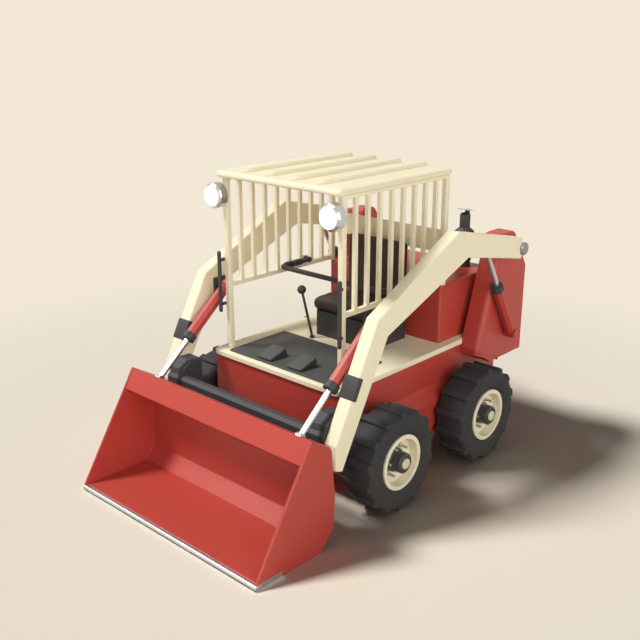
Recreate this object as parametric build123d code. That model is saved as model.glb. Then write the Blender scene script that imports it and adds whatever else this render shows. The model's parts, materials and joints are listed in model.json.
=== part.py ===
"""Skid steer loader: every rigid piece as its own solid, in millimetres.

Front is -Y, the machine's left is +X, up is +Z and the ground is z = 0. Stations along y are
measured from the front axle while modelling. On export everything moves by one shift, so that
the origin lies on the ground under the middle of the footprint.
"""

import os
from math import hypot

from build123d import *

# ---------------------------------------------------------------- driving sizes
# wheels
TYRE_R = 333.0
TYRE_W = 228.0
TRACK_HALF = 760.0
WHEELBASE = 961.0
LUG_H = 22.0
LUG_W = 42.0
LUG_COUNT = 14
RIM_R = 180.0
RIM_SEAT_R = 165.0
RIM_WALL = 12.0
HUB_R = 78.0
CAP_R = 37.0
AXLE_R = 36.0
# hull and deck
HULL_HALF = 560.0
HULL_FRONT = -246.0
HULL_REAR = 1500.0
HULL_BOTTOM = 180.0
DOOR_SILL = 370.0
PLATE = 12.0
CHAIN_CASE_OUT = 625.0
CHAIN_CASE_TOP = 500.0
DECK_HALF = 574.0
DECK_FRONT = -263.0
DECK_BOTTOM = 762.0
DECK_T = 34.0
DECK_CORNER_R = 45.0
# towers that carry the boom
TOWER_OUT = 704.0
TOWER_REAR = 1612.0
TOWER_FOOT = 614.0
TOWER_TOP = 1525.0
# engine
COVER_HALF = 504.0
COVER_FRONT = 851.0
COVER_TOP = 1217.0
# cage and roof
POST = 40.0
BAR = 25.0
CAGE_HALF = 522.0
CAGE_FRONT = -180.0
CAGE_REAR = 884.0
BAR_COUNT = 8
RAIL_Z = 1240.0
ROOF_HALF = 539.0
ROOF_FRONT = -223.0
ROOF_REAR = 890.0
ROOF_BOTTOM = 1964.0
ROOF_T = 48.0
RIB_PITCH = 218.0
# boom
ARM_IN = 712.0
ARM_OUT = 805.0
PIVOT = (1385.0, 1424.0)
PIVOT_PIN_R = 24.0
# bucket
BUCKET_HALF = 821.0
EDGE_FRONT = -1206.0
BUCKET_PIN = (-530.0, 400.0)
BUCKET_PIN_R = 20.0
SIDE_PLATE = 16.0
# cylinders: pins in the side view, offset from the middle, tube and rod radius
TILT_X = 644.0
TILT_BASE = (-60.0, 1190.0)
TILT_EYE = (-676.0, 672.0)
LIFT_X = 752.0
LIFT_BASE = (1389.0, 800.0)
LIFT_EYE = (1008.0, 1451.0)
# gaps
RUN_GAP = 0.08
SEAT_GAP = 0.3
# hinge lines: lap bar in the side view, rear door in plan
LAP_HINGE = (560.0, 1283.0)
DOOR_HINGE = (512.0, 1550.0)

DECK_TOP = DECK_BOTTOM + DECK_T
AXLE_Z = TYRE_R
PARTS = {}


# ---------------------------------------------------------------- helpers
def block(x0, x1, y0, y1, z0, z1):
    """Box between two corners."""
    size = (x1 - x0, y1 - y0, z1 - z0)
    return Pos((x0 + x1) / 2, (y0 + y1) / 2, (z0 + z1) / 2) * Box(*size)


def side_prism(outline, x0, x1):
    """Solid from x0 to x1 whose side view is the closed outline of (y, z) points."""
    face = Plane.YZ.offset(x0) * make_face(Polyline(*outline, close=True))
    return extrude(face, amount=x1 - x0, dir=(1, 0, 0))


def cross_pin(x0, x1, centre, radius):
    """Cylinder along x from x0 to x1 about the (y, z) centre."""
    where = Plane(origin=(x0, *centre), x_dir=(0, 1, 0), z_dir=(1, 0, 0))
    return where * Cylinder(radius, x1 - x0, align=(Align.CENTER, Align.CENTER, Align.MIN))


def rod(start, end, radius):
    """Round bar from one point to another."""
    start, end = Vector(*start), Vector(*end)
    where = Plane(origin=start, z_dir=end - start)
    length = (end - start).length
    return where * Cylinder(radius, length, align=(Align.CENTER, Align.CENTER, Align.MIN))


def eight_flats(start, end, radius):
    """Bar with eight flats from one point to another; radius is from the middle to a flat."""
    start, end = Vector(*start), Vector(*end)
    where = Plane(origin=start, x_dir=(1, 0, 0), z_dir=end - start)
    section = where * RegularPolygon(radius, 8, major_radius=False, rotation=22.5)
    return extrude(section, amount=(end - start).length)


def both_sides(shape):
    """The shape and its mirror image on the other side of the machine."""
    return shape + mirror(shape, about=Plane.YZ)


def turned(profile, centre_x, centre_y, centre_z):
    """Ring or disc turned about x from (x, radius) points."""
    face = Plane.XZ * make_face(Polyline(*profile, close=True))
    return Pos(centre_x, centre_y, centre_z) * revolve(face, axis=Axis.X)


# ---------------------------------------------------------------- wheels
def ring_of_flats(stations, sides):
    """Solid lofted along x through regular polygons given as (x, flat-to-centre radius)."""
    turn = 180 / sides
    rings = [Plane.YZ.offset(x) * RegularPolygon(radius, sides, major_radius=False, rotation=turn)
             for x, radius in stations]
    return loft([ring.face() for ring in rings], ruled=True)


def tyre():
    """Carcass with straight bars across the tread, about its own centre."""
    half, crown = TYRE_W / 2, TYRE_R - LUG_H
    bead, flats = half - 16, 2 * LUG_COUNT
    stations = [(bead, RIM_SEAT_R + 24), (half - 3, 206), (half, 250), (half - 2, 292),
                (half - 16, crown)]
    body = ring_of_flats([(-x, r) for x, r in stations] + stations[::-1], flats)
    body -= ring_of_flats([(-half, RIM_SEAT_R), (half, RIM_SEAT_R)], flats)
    foot, slope = crown - 24, 22
    lug_end = [(-half + 4, foot), (-half + 4, crown), (-half + slope, TYRE_R),
               (half - slope, TYRE_R), (half - 4, crown), (half - 4, foot)]
    face = Plane.XZ.offset(-LUG_W / 2) * make_face(Polyline(*lug_end, close=True))
    lug = extrude(face, amount=LUG_W, dir=(0, -1, 0))
    for i in range(LUG_COUNT):
        body += Rot(X=180 + i * 360 / LUG_COUNT) * lug
    return body


def rim():
    """Barrel with two flanges and the dished disc that the hub bolts to."""
    half = TYRE_W / 2 - 4
    bead = TYRE_W / 2 - 16 + SEAT_GAP
    seat, inner = RIM_SEAT_R - SEAT_GAP, RIM_SEAT_R - RIM_WALL
    section = [(-half, inner), (-half, RIM_R), (-bead, RIM_R), (-bead, seat), (bead, seat),
               (bead, RIM_R), (half, RIM_R), (half, inner), (48, inner - 6), (37, inner - 22),
               (37, HUB_R + SEAT_GAP), (25, HUB_R + SEAT_GAP), (25, inner - 18), (34, inner)]
    return turned(section, 0, 0, 0)


def hub():
    """Hub barrel with its bolting flange, nose and cap, bored for the axle."""
    nose = 133
    section = [(-40, AXLE_R + RUN_GAP), (-40, HUB_R), (4, HUB_R), (4, HUB_R + 44),
               (25 - SEAT_GAP, HUB_R + 44), (25 - SEAT_GAP, HUB_R), (nose - 6, HUB_R),
               (nose, HUB_R - 6), (nose, CAP_R), (nose + 9, CAP_R - 4), (nose + 9, 0), (60, 0),
               (60, AXLE_R + RUN_GAP)]
    return turned(section, 0, 0, 0)


def wheels():
    stations = {"front": 0.0, "rear": WHEELBASE}
    pieces = {"tyre": tyre(), "rim": rim(), "hub": hub()}
    for end, y in stations.items():
        for side, sign in (("left", 1), ("right", -1)):
            for name, piece in pieces.items():
                turned_out = piece if sign > 0 else mirror(piece, about=Plane.YZ)
                PARTS[f"{name}_{end}_{side}"] = Pos(sign * TRACK_HALF, y, AXLE_Z) * turned_out
    stubs = None
    for y in stations.values():
        stub = cross_pin(CHAIN_CASE_OUT, TRACK_HALF + 50, (y, AXLE_Z), AXLE_R)
        stub += cross_pin(CHAIN_CASE_OUT, CHAIN_CASE_OUT + 14, (y, AXLE_Z), AXLE_R + 30)
        stubs = both_sides(stub) if stubs is None else stubs + both_sides(stub)
    PARTS["axle_stubs"] = stubs


# ---------------------------------------------------------------- hull, deck and towers
def hull():
    """Welded tub with the two chain cases that drive the wheels along its sides."""
    nose, front, low = 70.0, HULL_FRONT, HULL_BOTTOM
    outside = [(front, DECK_BOTTOM), (front, low + nose), (front + nose, low), (HULL_REAR, low),
               (HULL_REAR, DECK_BOTTOM)]
    front, low = front + PLATE, low + PLATE
    inside = [(front, DECK_BOTTOM + 1), (front, low + nose - 5), (front + nose - 5, low),
              (HULL_REAR + 1, low), (HULL_REAR + 1, DECK_BOTTOM + 1)]
    tub = side_prism(outside, -HULL_HALF, HULL_HALF)
    tub -= side_prism(inside, -HULL_HALF + PLATE, HULL_HALF - PLATE)
    tub += block(-HULL_HALF + 1, HULL_HALF - 1, HULL_REAR - PLATE, HULL_REAR, HULL_BOTTOM + 1,
                 DOOR_SILL)
    case_ends = (-150.0, WHEELBASE + 150.0)
    section = [(HULL_HALF, HULL_BOTTOM), (CHAIN_CASE_OUT, HULL_BOTTOM + 25),
               (CHAIN_CASE_OUT, CHAIN_CASE_TOP - 45), (HULL_HALF, CHAIN_CASE_TOP + 45)]
    face = Plane.XZ.offset(-case_ends[0]) * make_face(Polyline(*section, close=True))
    case = extrude(face, amount=case_ends[1] - case_ends[0], dir=(0, 1, 0))
    PARTS["hull_tub"] = tub + case + mirror(case, about=Plane.YZ)


def deck():
    """Platform plate with rounded front corners and the opening under the engine cover."""
    step = 1040.0
    plate = block(-DECK_HALF, DECK_HALF, DECK_FRONT, step, DECK_BOTTOM, DECK_TOP)
    corners = plate.edges().filter_by(Axis.Z).group_by(Axis.Y)[0]
    plate = fillet(corners, DECK_CORNER_R)
    plate = fillet(plate.faces().sort_by(Axis.Z)[-1].edges(), 8)
    plate += block(-HULL_HALF + 2, HULL_HALF - 2, step - 1, HULL_REAR, DECK_BOTTOM, DECK_TOP)
    hole = COVER_HALF - 40
    plate -= block(-hole, hole, COVER_FRONT + 40, HULL_REAR + 1, DECK_BOTTOM - 1, DECK_TOP + 1)
    PARTS["deck"] = plate
    mat = block(-453, 453, -225, 303, DECK_TOP, DECK_TOP + 10)
    mat = fillet(mat.edges().filter_by(Axis.Z), 14)
    PARTS["floor_mat"] = chamfer(mat.faces().sort_by(Axis.Z)[-1].edges(), 4)


def tower():
    """Left upright: slanted front, sloped shoulder and the arch over the rear tyre."""
    outline = [(1043, TOWER_FOOT), (1043, 740), (1287, TOWER_TOP), (1428, TOWER_TOP),
               (TOWER_REAR, 1249), (TOWER_REAR, TOWER_FOOT)]
    post = side_prism(outline, HULL_HALF, TOWER_OUT)
    rim = post.faces().sort_by(Axis.X)[-1].edges().sort_by(Axis.Y)
    post = fillet(rim[:2], 42)
    top = post.faces().sort_by(Axis.Z)[-1].edges().filter_by(Axis.Y)
    post = chamfer(top, 14)
    arch = cross_pin(HULL_HALF - 1, TOWER_OUT + 1, (WHEELBASE, AXLE_Z), TYRE_R + 37)
    post -= arch
    post += cross_pin(TOWER_OUT - 1, ARM_IN - 1, PIVOT, PIVOT_PIN_R + 16)
    post += cross_pin(TOWER_OUT, ARM_OUT + 1, PIVOT, PIVOT_PIN_R)
    head = cross_pin(ARM_OUT + 1, ARM_OUT + 18, PIVOT, PIVOT_PIN_R + 19)
    post += chamfer(head.edges().sort_by(Axis.X)[-1:], 6)
    post += cross_pin(TOWER_OUT, LIFT_X - 36, LIFT_BASE, 28)
    post += cross_pin(TOWER_OUT, LIFT_X + 38, LIFT_BASE, 20)
    post += cross_pin(LIFT_X + 38, LIFT_X + 46, LIFT_BASE, 30)
    return post


# ---------------------------------------------------------------- engine bay
def engine():
    """Sheet cover over the engine, the engine itself and the exhaust above it."""
    wall = 8.0
    cover = block(-COVER_HALF, COVER_HALF, COVER_FRONT, HULL_REAR, DECK_TOP, COVER_TOP)
    cover = fillet(cover.edges().filter_by(Axis.Z).group_by(Axis.Y)[0], 14)
    cover = fillet(cover.faces().sort_by(Axis.Z)[-1].edges().sort_by(Axis.Y)[:-1], 12)
    cover -= block(-COVER_HALF + wall, COVER_HALF - wall, COVER_FRONT + wall, HULL_REAR + 1,
                   DECK_TOP - 1, COVER_TOP - wall)
    PARTS["engine_cover"] = cover
    PARTS["engine_block"] = block(-230, 230, 920, 1400, HULL_BOTTOM + PLATE, 1090)

    centre = (320.0, 1384.0)
    muffler_r, skirt_r, stack_r = 50.0, 64.0, 33.0
    section = [(0, COVER_TOP), (muffler_r, COVER_TOP), (muffler_r, 1470), (skirt_r, 1470),
               (stack_r + 8, 1496), (stack_r, 1500), (stack_r, 1600), (stack_r - 7, 1610),
               (0, 1610)]
    face = Plane.XZ * make_face(Polyline(*section, close=True))
    pipe = revolve(face, axis=Axis.Z)
    flap = Pos(0, 0, 1626) * Rot(X=-14) * Cylinder(46, 4)
    pipe += flap + Pos(0, 0, 1616) * Cylinder(9, 20)
    PARTS["exhaust"] = Pos(*centre, 0) * pipe


def rear_door():
    """Louvred door between the towers, hinged on its left edge."""
    half, bottom, top, thick = 500.0, DOOR_SILL + 10, 1190.0, 34.0
    front = HULL_REAR + 5
    door = block(-half, half, front, front + thick, bottom, top)
    slot_h, pitch = 26.0, 60.0
    slots = None
    for i in range(9):
        z = bottom + 130 + i * pitch
        cut = block(-360, 360, front - 1, front + thick + 1, z, z + slot_h)
        slots = cut if slots is None else slots + cut
    door -= slots
    x, y = DOOR_HINGE
    hinges = None
    for z in (520.0, 1050.0):
        knuckle = block(half - 10, x, front + thick - 2, y + 4, z + 1, z + 26)
        knuckle += rod((x, y, z + 1), (x, y, z + 26), 10)
        door += knuckle - rod((x, y, z), (x, y, z + 27), 5 + RUN_GAP)
        bracket = block(x, HULL_HALF, y - 7, y + 7, z - 24, z) + rod((x, y, z - 24), (x, y, z), 10)
        bracket += rod((x, y, z - 24), (x, y, z + 26), 5)
        hinges = bracket if hinges is None else hinges + bracket
    PARTS["rear_door"] = door
    PARTS["door_hinges"] = hinges


def tow_eye():
    plate = block(-14, 14, HULL_REAR, HULL_REAR + 60, 230, 330)
    plate += cross_pin(-14, 14, (HULL_REAR + 60, 280), 50)
    plate -= cross_pin(-15, 15, (HULL_REAR + 60, 280), 20)
    PARTS["tow_eye"] = plate


# ---------------------------------------------------------------- cage
def cage():
    """Two barred sides, the back band and the roof slab with its ribs."""
    x1, x0 = CAGE_HALF, CAGE_HALF - POST
    middle = (x0 + x1) / 2
    front = block(x0, x1, CAGE_FRONT, CAGE_FRONT + POST, DECK_TOP, ROOF_BOTTOM)
    rear = block(x0, x1, CAGE_REAR - POST, CAGE_REAR, COVER_TOP, ROOF_BOTTOM)
    side = fillet(front.edges().filter_by(Axis.Z), 9) + fillet(rear.edges().filter_by(Axis.Z), 9)
    for low, high in ((RAIL_Z - 15, RAIL_Z + 15), (ROOF_BOTTOM - 22, ROOF_BOTTOM)):
        side += block(middle - 14, middle + 14, CAGE_FRONT + 10, CAGE_REAR - 10, low, high)
    first, last = CAGE_FRONT + POST / 2, CAGE_REAR - POST / 2
    pitch = (last - first) / (BAR_COUNT + 1)
    for i in range(BAR_COUNT):
        y = first + (i + 1) * pitch
        side += block(middle - BAR / 2, middle + BAR / 2, y - BAR / 2, y + BAR / 2,
                      RAIL_Z, ROOF_BOTTOM)
    y, z = LAP_HINGE
    side += block(middle - 14, middle + 14, y - 26, y + 26, RAIL_Z, z + 26)
    side += cross_pin(x0 - 30, middle, LAP_HINGE, 7)
    PARTS["cage_sides"] = both_sides(side)
    PARTS["cage_back"] = block(-x0, x0, CAGE_REAR - 30, CAGE_REAR - 10, 1440, 1590)

    top = ROOF_BOTTOM + ROOF_T
    slab = block(-ROOF_HALF, ROOF_HALF, ROOF_FRONT, ROOF_REAR, ROOF_BOTTOM, top)
    slab = fillet(slab.edges().filter_by(Axis.Z), 24)
    slab = fillet(slab.faces().sort_by(Axis.Z)[-1].edges(), 16)
    rib_half, rib_h, run_out = 34.0, 22.0, 40.0
    y0, y1 = ROOF_FRONT + 38, ROOF_REAR - 14
    outline = [(y0, top - 2), (y0 + run_out, top + rib_h), (y1 - run_out / 2, top + rib_h),
               (y1, top - 2)]
    rib = side_prism(outline, -rib_half, rib_half)
    rib = chamfer(rib.faces().sort_by(Axis.Z)[-1].edges().filter_by(Axis.Y), 15)
    for i in range(4):
        slab += Pos((i - 1.5) * RIB_PITCH, 0, 0) * rib
    PARTS["roof"] = slab


def cab_fittings():
    """Seat, controls, lamps and grab bars."""
    base = block(-262, 262, 428, 800, DECK_TOP, 975)
    PARTS["seat_base"] = chamfer(base.edges().filter_by(Axis.Z), 12)
    cushion = block(-306, 306, 402, 735, 975 + SEAT_GAP, 1078)
    cushion = fillet(cushion.edges().filter_by(Axis.Z), 40)
    PARTS["seat_cushion"] = fillet(cushion.faces().sort_by(Axis.Z)[-1].edges(), 26)
    rest = block(-268, 268, 735 + SEAT_GAP, 828, 985, 1495)
    rest = fillet(rest.edges().filter_by(Axis.Y), 40)
    PARTS["seat_back"] = fillet(rest.faces().sort_by(Axis.Y)[0].edges(), 22)

    mat_top = DECK_TOP + 10
    wedge = [(-198, mat_top), (-198, mat_top + 2), (-58, mat_top + 44), (-50, mat_top + 36),
             (-50, mat_top)]
    pedal = side_prism(wedge, 135 - 58, 135 + 58)
    socket = rod((222, 349, DECK_TOP), (222, 349, DECK_TOP + 12), 19)
    stick = socket + rod((222, 349, DECK_TOP + 10), (290, 320, 1130), 9)
    stick += Pos(292, 319, 1140) * Sphere(31)
    PARTS["controls"] = both_sides(pedal) + both_sides(stick)

    lamp_x, lamp_z, lens_y = 503.0, 1853.0, -281.0
    section = [(0, 0), (78, 0), (84, 6), (84, 26), (70, 56), (46, 74), (0, 80)]
    face = Plane.XY * make_face(Polyline(*section, close=True))
    shell = revolve(face, axis=Axis.Y)
    shell += block(-14, 14, 40, CAGE_FRONT - lens_y, -22, 22)
    housing = Pos(lamp_x, lens_y, lamp_z) * shell
    PARTS["lamp_housings"] = both_sides(housing)
    dome = [(0, -16), (26, -14), (50, -9), (74, 0), (0, 0)]
    face = Plane.XY * make_face(Polyline(*dome, close=True))
    lens = Pos(lamp_x, lens_y, lamp_z) * revolve(face, axis=Axis.Y)
    PARTS["lamp_lenses"] = both_sides(lens)

    x, y = 533.0, CAGE_FRONT - 35
    grab = rod((x, y, 1063), (x, y, 1461), 13)
    grab += Pos(x, y, 1063) * Sphere(13) + Pos(x, y, 1461) * Sphere(13)
    for z in (1110, 1414):
        grab += block(x - 19, x - 3, y, CAGE_FRONT, z - 9, z + 9)
    PARTS["grab_bars"] = both_sides(grab)


def lap_bar():
    """U-shaped bar over the lap that swings up about its rear ends."""
    half, front, r, bend = 455.0, 281.0, 17.0, 40.0
    rear, z = LAP_HINGE
    route = FilletPolyline((half, rear, z), (half, front, z), (-half, front, z), (-half, rear, z),
                           radius=bend)
    bar = sweep(Plane(origin=route @ 0, z_dir=route % 0) * Circle(r), path=route)
    bar += both_sides(cross_pin(half - 15, CAGE_HALF - POST + 5, LAP_HINGE, r + 3))
    hole = cross_pin(CAGE_HALF - POST - 32, CAGE_HALF - POST + 6, LAP_HINGE, 7 + RUN_GAP)
    PARTS["lap_bar"] = bar - both_sides(hole)


# ---------------------------------------------------------------- boom
ARM_OUTLINE = [(1378, 1501), (593, 1671), (-186, 1285), (-545, 612), (-545, 458), (-487, 436),
               (-90, 1163), (721, 1484), (1376, 1353)]


def boom():
    """Two cranked arms, the cross tube with its foot plates and the tilt cylinder brackets."""
    arm = side_prism(ARM_OUTLINE, ARM_IN, ARM_OUT)
    arm = chamfer(arm.edges().filter_by(Axis.X, reverse=True), 6)
    arm += cross_pin(ARM_IN, ARM_OUT, PIVOT, PIVOT_PIN_R + 18)
    arm -= cross_pin(ARM_IN - 1, ARM_OUT + 1, PIVOT, PIVOT_PIN_R + RUN_GAP)
    y, z = LIFT_EYE
    slot = [(y - 48, z - 90), (y - 48, z + 36), (y + 18, z + 36), (y + 204, z - 46),
            (y + 204, z - 90)]
    arm -= side_prism(slot, LIFT_X - 26, LIFT_X + 26)
    PARTS["arm_left"] = arm
    PARTS["arm_right"] = mirror(arm, about=Plane.YZ)

    bevel = 20.0
    y0, y1, z0, z1 = -555.0, -480.0, 575.0, 665.0
    tube = [(y0 + bevel, z0), (y1 - bevel, z0), (y1, z0 + bevel), (y1, z1 - bevel),
            (y1 - bevel, z1), (y0 + bevel, z1), (y0, z1 - bevel), (y0, z0 + bevel)]
    cross = side_prism(tube, -ARM_IN, ARM_IN)
    py, pz = BUCKET_PIN
    head = [(-548, 575), (-548, 618), (-523, 704), (-452, 749), (-365, 749), (-349, 733),
            (-349, 575)]
    knee = side_prism(head, 588, ARM_IN)
    knee = chamfer(knee.faces().sort_by(Axis.X)[0].edges().sort_by(Axis.Z)[1:], 9)
    leg = [(-548, 576), (-349, 576), (py + 44, pz + 8), (py + 32, pz - 32), (py, pz - 44),
           (py - 32, pz - 32), (py - 42, pz)]
    knee += side_prism(leg, 588, 602) + side_prism(leg, 699, ARM_IN)
    knee += cross_pin(580, 720, BUCKET_PIN, BUCKET_PIN_R)
    PARTS["cross_tube"] = cross + both_sides(knee)

    y, z = TILT_BASE
    bracket = block(TILT_X + 43, ARM_IN, y - 62, y + 46, z - 78, z + 46)
    bracket += cross_pin(TILT_X - 32, ARM_IN, TILT_BASE, 16)
    bracket += cross_pin(TILT_X - 32, TILT_X - 24, TILT_BASE, 24)
    PARTS["tilt_brackets"] = both_sides(bracket)


# ---------------------------------------------------------------- bucket
def bucket():
    """Shell with its boxed top, side plates, hinge lugs, tilt pockets and cutting edge."""
    back, floor, wall, bar_top = -629.0, 38.0, 16.0, 34.0
    inside = BUCKET_HALF - SIDE_PLATE
    shell = [(-764, 736), (-835, 608), (-822, 591), (back, 442), (back, 131), (-710, floor),
             (EDGE_FRONT + 26, floor), (EDGE_FRONT + 26, 14), (-702, 14), (back + wall, 122),
             (back + wall, 646)]
    body = side_prism(shell, -inside, inside)
    cheek = [(EDGE_FRONT + 6, bar_top), (-840, 611), (-764, 736), (-613, 646), (-596, 618),
             (-578, 428), (-564, 325), (-584, 104), (-687, 0), (-997, 0), (-997, bar_top)]
    plate = side_prism(cheek, inside, BUCKET_HALF)
    outer_rim = plate.faces().sort_by(Axis.X)[-1].edges().sort_by(Axis.Z)[3:]
    body += both_sides(chamfer(outer_rim, 4))
    py, pz = BUCKET_PIN
    lug = side_prism([(back + wall - 2, pz - 70), (py, pz - 38), (py, pz + 38),
                      (back + wall - 2, pz + 70)], 630, 692)
    lug += cross_pin(630, 692, BUCKET_PIN, 38)
    lug -= cross_pin(629, 693, BUCKET_PIN, BUCKET_PIN_R + RUN_GAP)
    body += both_sides(lug)
    ey, ez = TILT_EYE
    pocket = side_prism([(ey - 51, ez + 100), (ey - 51, ez - 22), (ey - 24, ez - 54),
                         (ey + 76, ez - 60), (ey + 76, ez + 100)], TILT_X - 30, TILT_X + 30)
    pocket -= cross_pin(TILT_X - 31, TILT_X - 24, TILT_EYE, 15)
    pocket -= cross_pin(TILT_X + 24, TILT_X + 31, TILT_EYE, 15)
    PARTS["bucket_shell"] = body - both_sides(pocket)

    front = [(EDGE_FRONT + 6, bar_top), (EDGE_FRONT, bar_top - 6), (EDGE_FRONT, 12),
             (EDGE_FRONT + 12, 0)]
    blade = side_prism(front + [(-1050, 0), (-1050, 14), (EDGE_FRONT + 26, 14),
                                (EDGE_FRONT + 26, bar_top)], -inside, inside)
    blade += both_sides(side_prism(front + [(-997, 0), (-997, bar_top)], inside, BUCKET_HALF))
    PARTS["cutting_edge"] = blade


# ---------------------------------------------------------------- cylinders
def cylinder(name, x, base, eye, barrel_len, rod_len, tube_r, gland_r, base_pin_r, base_w):
    """Barrel and rod along the line from the base pin to the rod's eye, on both sides."""
    rod_r = 20.0
    dy, dz = eye[0] - base[0], eye[1] - base[1]
    length = hypot(dy, dz)
    uy, uz = dy / length, dz / length

    def at(s):
        return (x, base[0] + s * uy, base[1] + s * uz)

    barrel = eight_flats(at(base_pin_r + 12), at(barrel_len - 46), tube_r)
    barrel += eight_flats(at(barrel_len - 46), at(barrel_len), gland_r)
    barrel += cross_pin(x - base_w / 2, x + base_w / 2, base, base_pin_r + 18)
    barrel -= cross_pin(x - base_w, x + base_w, base, base_pin_r + RUN_GAP)
    barrel -= rod(at(base_pin_r + 20), at(barrel_len + 1), rod_r + RUN_GAP)
    shaft = rod(at(length - rod_len), at(length), rod_r)
    shaft += cross_pin(x - rod_r - 2, x + rod_r + 2, eye, rod_r + 6)
    for side, sign in (("left", 1), ("right", -1)):
        for part, shape in (("barrel", barrel), ("rod", shaft)):
            placed = shape if sign > 0 else mirror(shape, about=Plane.YZ)
            PARTS[f"{name}_{part}_{side}"] = placed


def main():
    wheels()
    hull()
    deck()
    upright = tower()
    PARTS["towers"] = both_sides(upright)
    engine()
    rear_door()
    tow_eye()
    cage()
    cab_fittings()
    lap_bar()
    boom()
    bucket()
    cylinder("tilt", TILT_X, TILT_BASE, TILT_EYE, 477, 700, 37, 43, 16, 44)
    cylinder("lift", LIFT_X, LIFT_BASE, LIFT_EYE, 460, 640, 36, 40, 20, 68)
    os.makedirs("parts", exist_ok=True)
    shift = -(TOWER_REAR + EDGE_FRONT) / 2
    for name, shape in PARTS.items():
        export_step(Pos(0, shift, 0) * shape, f"parts/{name}.step")
    print(len(PARTS), "nodes, shift", shift)


main()
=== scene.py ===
"""Finishes, fittings and studio for a skid steer loader, laid out as a Blender add-on."""

import json
import math

import bmesh
import bpy
from bpy.props import FloatProperty, FloatVectorProperty, IntProperty, PointerProperty
from mathutils import Matrix, Vector


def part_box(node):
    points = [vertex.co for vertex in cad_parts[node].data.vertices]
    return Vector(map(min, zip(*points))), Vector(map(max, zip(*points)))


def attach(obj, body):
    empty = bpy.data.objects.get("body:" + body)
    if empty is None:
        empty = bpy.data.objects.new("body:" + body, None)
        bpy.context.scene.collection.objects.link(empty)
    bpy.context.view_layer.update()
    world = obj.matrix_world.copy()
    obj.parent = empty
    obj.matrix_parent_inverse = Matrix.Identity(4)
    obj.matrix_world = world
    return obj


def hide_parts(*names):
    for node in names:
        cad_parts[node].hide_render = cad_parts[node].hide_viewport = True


bl_info = {
    "name": "Skid Steer Loader Dresser",
    "version": (1, 0, 0),
    "blender": (4, 5, 0),
    "location": "View3D > Sidebar > Loader",
    "description": "Finishes, fittings and a pale studio for a compact skid steer loader",
    "category": "Object",
}

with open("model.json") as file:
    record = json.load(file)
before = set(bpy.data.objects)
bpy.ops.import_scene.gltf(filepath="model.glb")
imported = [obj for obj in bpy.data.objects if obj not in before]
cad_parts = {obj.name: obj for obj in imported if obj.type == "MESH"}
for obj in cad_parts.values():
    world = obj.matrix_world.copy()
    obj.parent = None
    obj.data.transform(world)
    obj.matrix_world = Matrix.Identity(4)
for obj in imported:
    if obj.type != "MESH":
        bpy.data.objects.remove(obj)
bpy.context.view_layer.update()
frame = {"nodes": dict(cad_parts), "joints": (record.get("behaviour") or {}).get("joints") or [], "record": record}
NODES = frame["nodes"]
SLOT_OF = {entry["node"]: entry["material_slot"] for entry in frame["record"]["subparts"]}
JOINTS = {joint["name"]: joint for joint in frame["joints"]}
WHEELS = [f"{end}_{side}" for end in ("front", "rear") for side in ("left", "right")]
SIDES = (("left", 1), ("right", -1))
RIB_COUNT = 4
RIB_SHOULDER = 0.006
FLAP_RADIUS = 0.058
PEDAL_X, PEDAL_HALF = 0.135, 0.061
KEY_TRAVEL = (0.56, 0.50, -1)
FILL_TRAVEL = (-0.87, 0.42, -0.35)
FILL_SOFTNESS = math.radians(55)
FLOOR_BLEND = (2.3, 5.6)
SWELL_FRAMES = 16
STUD_START = math.radians(52)
CHEEK_PLATE = 0.016
# cylinder glands: end of the barrel from its base pin, and distance from the middle to a flat
GLANDS = {"tilt": (0.477, 0.043), "lift": (0.460, 0.040)}
# the bucket's inner skin in its side view, as (y, z) from the bucket's pin
BUCKET_INSIDE = ((-0.292, 0.191), (-0.099, 0.042), (-0.099, -0.269), (-0.180, -0.362),
                 (-0.640, -0.362))


def linear(red, green, blue):
    """Colour written as 0 to 255 screen values, returned as linear light."""
    out = []
    for value in (red, green, blue):
        value /= 255
        out.append(value / 12.92 if value <= 0.04045 else ((value + 0.055) / 1.055) ** 2.4)
    return tuple(out)


# ---------------------------------------------------------------- settings
def tint(name, description, *rgb):
    """Colour setting whose default is written as screen values."""
    return FloatVectorProperty(name=name, description=description, subtype="COLOR", size=3,
                               min=0, max=1, default=linear(*rgb))


def length(name, description, default, low, high):
    """Length setting in metres."""
    return FloatProperty(name=name, description=description, default=default, min=low, max=high,
                         unit="LENGTH")


class LoaderColours(bpy.types.PropertyGroup):
    """Paints and materials that a user would change."""

    body: tint("Body paint", "Brick red of the hull, towers, cylinders and bucket", 180, 62, 52)
    cream: tint("Cream paint", "Ivory of the arms, deck, cage, roof and rims", 240, 230, 199)
    black: tint("Black paint", "Charcoal of the brackets, cross tube, hubs and grab bars", 62, 61, 64)
    rubber: tint("Tyre rubber", "Dark grey of the tyres", 52, 52, 53)
    mat: tint("Mat rubber", "Grey of the floor mat and pedals", 72, 73, 72)
    seat: tint("Seat vinyl", "Dark brown of the cushion and backrest", 58, 42, 36)


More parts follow.
